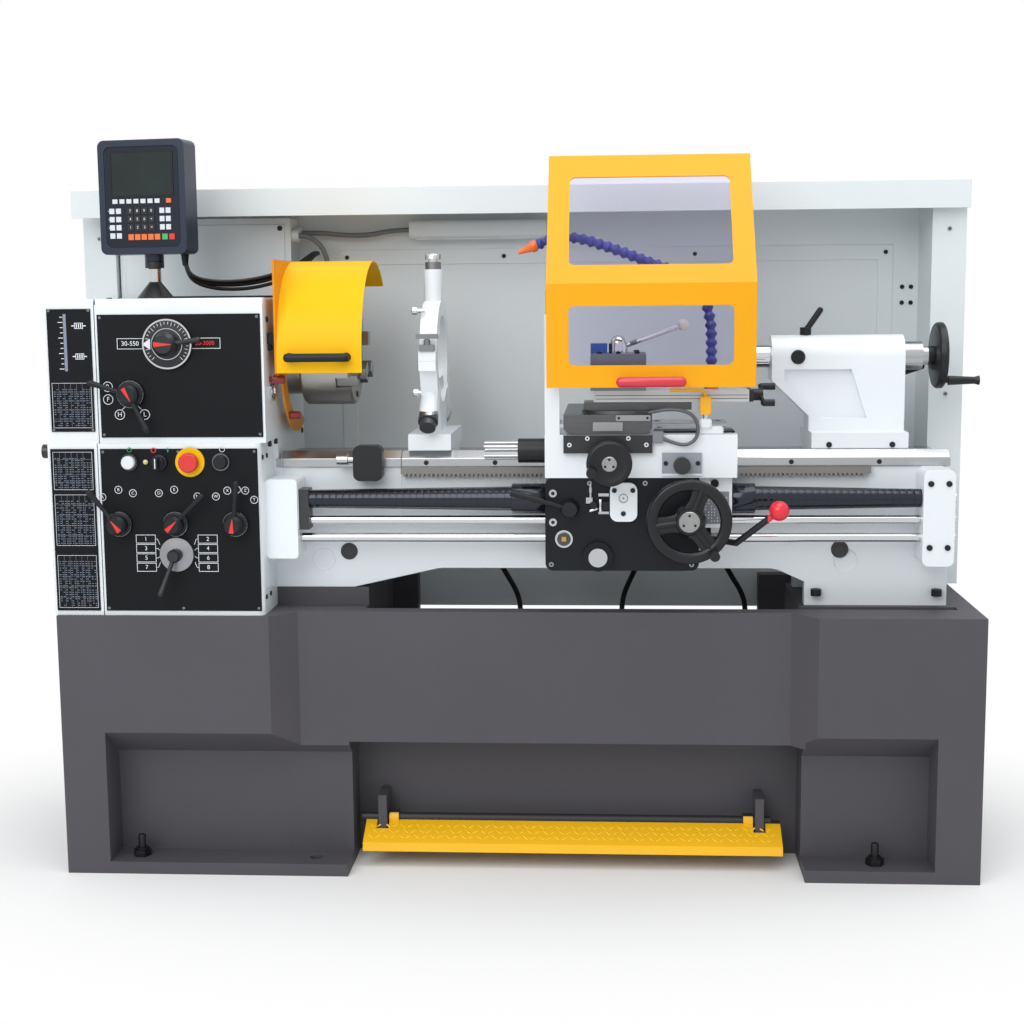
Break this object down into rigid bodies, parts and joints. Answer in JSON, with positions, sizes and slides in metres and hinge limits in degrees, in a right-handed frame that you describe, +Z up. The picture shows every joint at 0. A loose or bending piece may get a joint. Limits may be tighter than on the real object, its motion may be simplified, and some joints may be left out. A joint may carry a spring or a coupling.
{
  "type": "engine lathe",
  "caption": "Manual engine lathe with geared headstock, gap bed, three-jaw chuck, carriage, digital readout, steady rest, tailstock, guards, coolant hose and foot brake.",
  "frame": {"origin": "middle of the stand's footprint on the floor", "axes": "+X along the bed from headstock to tailstock, -Y towards the operator, +Z up"},
  "size_m": [1.979, 0.6645, 1.532],
  "materials": {
    "grey_paint": "textured",
    "white_paint": "semi-gloss",
    "cast": "machined",
    "ground": "ground",
    "steel": "turned",
    "chrome": "polished",
    "black_steel": "blackened",
    "cover_steel": "blued",
    "black_plastic": "matt",
    "plate": "satin",
    "yellow_paint": "gloss",
    "window": "clear",
    "readout_case": "satin",
    "red_plastic": "gloss",
    "white_plastic": "gloss",
    "blue_plastic": "satin",
    "hose_grey": "matt",
    "black_rubber": "matt"
  },
  "bodies": {
    "frame": {"stand": "grey_paint", "levelling_bolts": "steel", "bed": "white_paint", "gap_bridge": "white_paint", "feed_rack": "steel", "headstock_housing": "white_paint", "end_gear_cover": "white_paint", "feed_gearbox": "white_paint", "front_plates": "plate", "tail_bracket": "white_paint", "electrical_cabinet": "white_paint", "backsplash": "white_paint", "work_lamp": "black_plastic", "hoses": "hose_grey", "readout_stem": "white_paint", "readout_cable": "black_rubber", "leadscrew_covers": "cover_steel"},
    "spindle": {"spindle": "steel", "chuck_body": "ground"},
    "chuck_jaw_top": {"chuck_jaw_top": "steel"},
    "chuck_jaw_front": {"chuck_jaw_front": "steel"},
    "chuck_jaw_rear": {"chuck_jaw_rear": "steel"},
    "chuck_guard": {"chuck_guard": "yellow_paint"},
    "leadscrew": {"leadscrew": "steel"},
    "feed_rod": {"feed_rod": "chrome"},
    "control_rod": {"control_rod": "chrome"},
    "speed_knob": {"speed_knob": "black_plastic"},
    "range_lever": {"range_lever": "black_plastic"},
    "feed_selector_left": {"feed_selector_left": "chrome"},
    "feed_selector_middle": {"feed_selector_middle": "chrome"},
    "feed_selector_right": {"feed_selector_right": "chrome"},
    "gate_lever": {"gate_lever": "chrome"},
    "power_switch": {"power_switch": "black_plastic"},
    "start_button": {"start_button": "white_plastic"},
    "jog_button": {"jog_button": "black_plastic"},
    "stop_button": {"stop_button": "red_plastic"},
    "readout": {"readout": "readout_case"},
    "carriage": {"saddle": "white_paint", "apron": "white_paint"},
    "apron_handwheel": {"apron_handwheel": "chrome"},
    "half_nut_lever": {"half_nut_lever": "chrome"},
    "control_lever": {"control_lever": "chrome"},
    "stop_drum": {"stop_drum": "steel"},
    "tool_guard": {"tool_guard": "yellow_paint", "guard_windows": "window"},
    "cross_slide": {"cross_slide": "cast"},
    "cross_handwheel": {"cross_handwheel": "chrome"},
    "compound_slide": {"compound_slide": "cast", "coolant_hose": "blue_plastic"},
    "compound_handle": {"compound_handle": "chrome"},
    "tool_post": {"tool_post": "black_steel"},
    "carriage_stop": {"carriage_stop": "white_paint"},
    "steady": {"steady_base": "white_paint"},
    "steady_top": {"steady_top": "white_paint"},
    "tailstock": {"tailstock_body": "white_paint"},
    "quill": {"quill": "ground"},
    "tailstock_handwheel": {"tailstock_handwheel": "chrome"},
    "quill_lock": {"quill_lock": "chrome"},
    "tailstock_clamp": {"tailstock_clamp": "chrome"},
    "brake_treadle": {"brake_treadle": "yellow_paint"}
  },
  "joints": [
    {"name": "spindle_spin", "type": "hinge", "parent": "frame", "child": "spindle", "pos_m": [-0.95, -0.015, 1.07], "axis": [1, 0, 0], "continuous": true},
    {"name": "chuck_jaw_top_slide", "type": "slide", "parent": "spindle", "child": "chuck_jaw_top", "axis": [0, 0, 1], "range_m": [-0.012, 0.008]},
    {"name": "chuck_jaw_front_slide", "type": "slide", "parent": "spindle", "child": "chuck_jaw_front", "axis": [0, -0.866, -0.5], "range_m": [-0.012, 0.008]},
    {"name": "chuck_jaw_rear_slide", "type": "slide", "parent": "spindle", "child": "chuck_jaw_rear", "axis": [0, 0.866, -0.5], "range_m": [-0.012, 0.008]},
    {"name": "chuck_guard_swing", "type": "hinge", "parent": "frame", "child": "chuck_guard", "pos_m": [-0.488, 0.095, 1.17], "axis": [-1, 0, 0], "range_deg": [0, 50]},
    {"name": "leadscrew_spin", "type": "hinge", "parent": "frame", "child": "leadscrew", "pos_m": [-0.515, -0.195, 0.788], "axis": [1, 0, 0], "continuous": true},
    {"name": "feed_rod_spin", "type": "hinge", "parent": "frame", "child": "feed_rod", "pos_m": [-0.515, -0.195, 0.744], "axis": [1, 0, 0], "continuous": true},
    {"name": "control_rod_turn", "type": "hinge", "parent": "frame", "child": "control_rod", "pos_m": [-0.515, -0.195, 0.707], "axis": [1, 0, 0], "range_deg": [-15, 15]},
    {"name": "speed_knob_turn", "type": "hinge", "parent": "frame", "child": "speed_knob", "pos_m": [-0.69995, -0.275, 1.112], "axis": [0, 1, 0], "range_deg": [-135, 135]},
    {"name": "range_lever_turn", "type": "hinge", "parent": "frame", "child": "range_lever", "pos_m": [-0.779, -0.275, 1.011], "axis": [0, 1, 0], "range_deg": [-30, 30]},
    {"name": "feed_selector_left_turn", "type": "hinge", "parent": "frame", "child": "feed_selector_left", "pos_m": [-0.80827, -0.275, 0.74611], "axis": [0, 1, 0], "range_deg": [-25, 25]},
    {"name": "feed_selector_middle_turn", "type": "hinge", "parent": "frame", "child": "feed_selector_middle", "pos_m": [-0.69193, -0.275, 0.74611], "axis": [0, 1, 0], "range_deg": [-25, 25]},
    {"name": "feed_selector_right_turn", "type": "hinge", "parent": "frame", "child": "feed_selector_right", "pos_m": [-0.56778, -0.275, 0.74611], "axis": [0, 1, 0], "range_deg": [-25, 25]},
    {"name": "gate_lever_turn", "type": "hinge", "parent": "frame", "child": "gate_lever", "pos_m": [-0.69193, -0.275, 0.68261], "axis": [0, 1, 0], "range_deg": [-30, 30]},
    {"name": "power_switch_turn", "type": "hinge", "parent": "frame", "child": "power_switch", "pos_m": [-0.72183, -0.275, 0.87278], "axis": [0, 1, 0], "range_deg": [0, 90]},
    {"name": "start_button_press", "type": "slide", "parent": "frame", "child": "start_button", "axis": [0, 1, 0], "range_m": [0, 0.004], "stiffness_N_per_m": 300},
    {"name": "jog_button_press", "type": "slide", "parent": "frame", "child": "jog_button", "axis": [0, 1, 0], "range_m": [0, 0.004], "stiffness_N_per_m": 300},
    {"name": "stop_button_press", "type": "slide", "parent": "frame", "child": "stop_button", "axis": [0, 1, 0], "range_m": [0, 0.004], "stiffness_N_per_m": 300},
    {"name": "readout_swivel", "type": "hinge", "parent": "frame", "child": "readout", "pos_m": [-0.772, -0.075, 1.204], "axis": [0, 0, 1], "range_deg": [-20, 20], "deforming": ["readout_cable"]},
    {"name": "carriage_slide", "type": "slide", "parent": "frame", "child": "carriage", "axis": [1, 0, 0], "range_m": [-0.15, 0.1], "deforming": ["leadscrew_covers"]},
    {"name": "apron_handwheel_turn", "type": "hinge", "parent": "carriage", "child": "apron_handwheel", "pos_m": [0.352, -0.275, 0.756], "axis": [0, 1, 0], "continuous": true},
    {"name": "half_nut_lever_turn", "type": "hinge", "parent": "carriage", "child": "half_nut_lever", "pos_m": [0.114, -0.275, 0.776], "axis": [0, -1, 0], "range_deg": [0, 30]},
    {"name": "control_lever_turn", "type": "hinge", "parent": "carriage", "child": "control_lever", "pos_m": [0.3883, -0.195, 0.707], "axis": [1, 0, 0], "range_deg": [-15, 15]},
    {"name": "stop_drum_turn", "type": "hinge", "parent": "carriage", "child": "stop_drum", "pos_m": [0.0637, -0.203, 0.888], "axis": [1, 0, 0], "continuous": true},
    {"name": "tool_guard_swing", "type": "hinge", "parent": "carriage", "child": "tool_guard", "pos_m": [0.0793, -0.241, 1.165], "axis": [0, 0, -1], "range_deg": [0, 100]},
    {"name": "cross_slide_travel", "type": "slide", "parent": "carriage", "child": "cross_slide", "axis": [0, -1, 0], "range_m": [-0.12, 0.02]},
    {"name": "cross_handwheel_turn", "type": "hinge", "parent": "carriage", "child": "cross_handwheel", "pos_m": [0.194, -0.275, 0.873], "axis": [0, 1, 0], "continuous": true},
    {"name": "compound_slide_travel", "type": "slide", "parent": "cross_slide", "child": "compound_slide", "axis": [-1, 0, 0], "range_m": [-0.05, 0.05]},
    {"name": "compound_handle_turn", "type": "hinge", "parent": "compound_slide", "child": "compound_handle", "pos_m": [0.4843, -0.175, 0.9986], "axis": [-1, 0, 0], "continuous": true},
    {"name": "tool_post_turn", "type": "hinge", "parent": "compound_slide", "child": "tool_post", "pos_m": [0.212, -0.175, 1.0109], "axis": [0, 0, 1], "range_deg": [0, 90]},
    {"name": "carriage_stop_slide", "type": "slide", "parent": "frame", "child": "carriage_stop", "axis": [1, 0, 0], "range_m": [-0.06, 0.03]},
    {"name": "steady_slide", "type": "slide", "parent": "frame", "child": "steady", "axis": [1, 0, 0], "range_m": [-0.04, 0.08]},
    {"name": "steady_top_open", "type": "hinge", "parent": "steady", "child": "steady_top", "pos_m": [-0.201, 0.126, 1.07], "axis": [-1, 0, 0], "range_deg": [0, 30]},
    {"name": "tailstock_slide", "type": "slide", "parent": "frame", "child": "tailstock", "axis": [1, 0, 0], "range_m": [-0.05, 0.06]},
    {"name": "quill_travel", "type": "slide", "parent": "tailstock", "child": "quill", "axis": [-1, 0, 0], "range_m": [0, 0.1]},
    {"name": "tailstock_handwheel_turn", "type": "hinge", "parent": "tailstock", "child": "tailstock_handwheel", "pos_m": [0.8133, -0.015, 1.07], "axis": [-1, 0, 0], "continuous": true},
    {"name": "quill_lock_turn", "type": "hinge", "parent": "tailstock", "child": "quill_lock", "pos_m": [0.61, -0.015, 1.115], "axis": [0, 0, 1], "range_deg": [-30, 45]},
    {"name": "tailstock_clamp_turn", "type": "hinge", "parent": "tailstock", "child": "tailstock_clamp", "pos_m": [0.792, 0.03, 1.02], "axis": [0, -1, 0], "range_deg": [-10, 30]},
    {"name": "brake_treadle_press", "type": "hinge", "parent": "frame", "child": "brake_treadle", "pos_m": [-0.95, -0.145, 0.088], "axis": [1, 0, 0], "range_deg": [0, 12]}
  ],
  "couplings": [
    {"joint": "chuck_jaw_front_slide", "follows": "chuck_jaw_top_slide", "ratio": 1},
    {"joint": "chuck_jaw_rear_slide", "follows": "chuck_jaw_top_slide", "ratio": 1},
    {"joint": "apron_handwheel_turn", "follows": "carriage_slide", "rad_per_m": 251.33},
    {"joint": "control_rod_turn", "follows": "control_lever_turn", "ratio": 1},
    {"joint": "cross_handwheel_turn", "follows": "cross_slide_travel", "rad_per_m": -1256.6},
    {"joint": "compound_handle_turn", "follows": "compound_slide_travel", "rad_per_m": 1256.6},
    {"joint": "tailstock_handwheel_turn", "follows": "quill_travel", "rad_per_m": 1256.6}
  ]
}
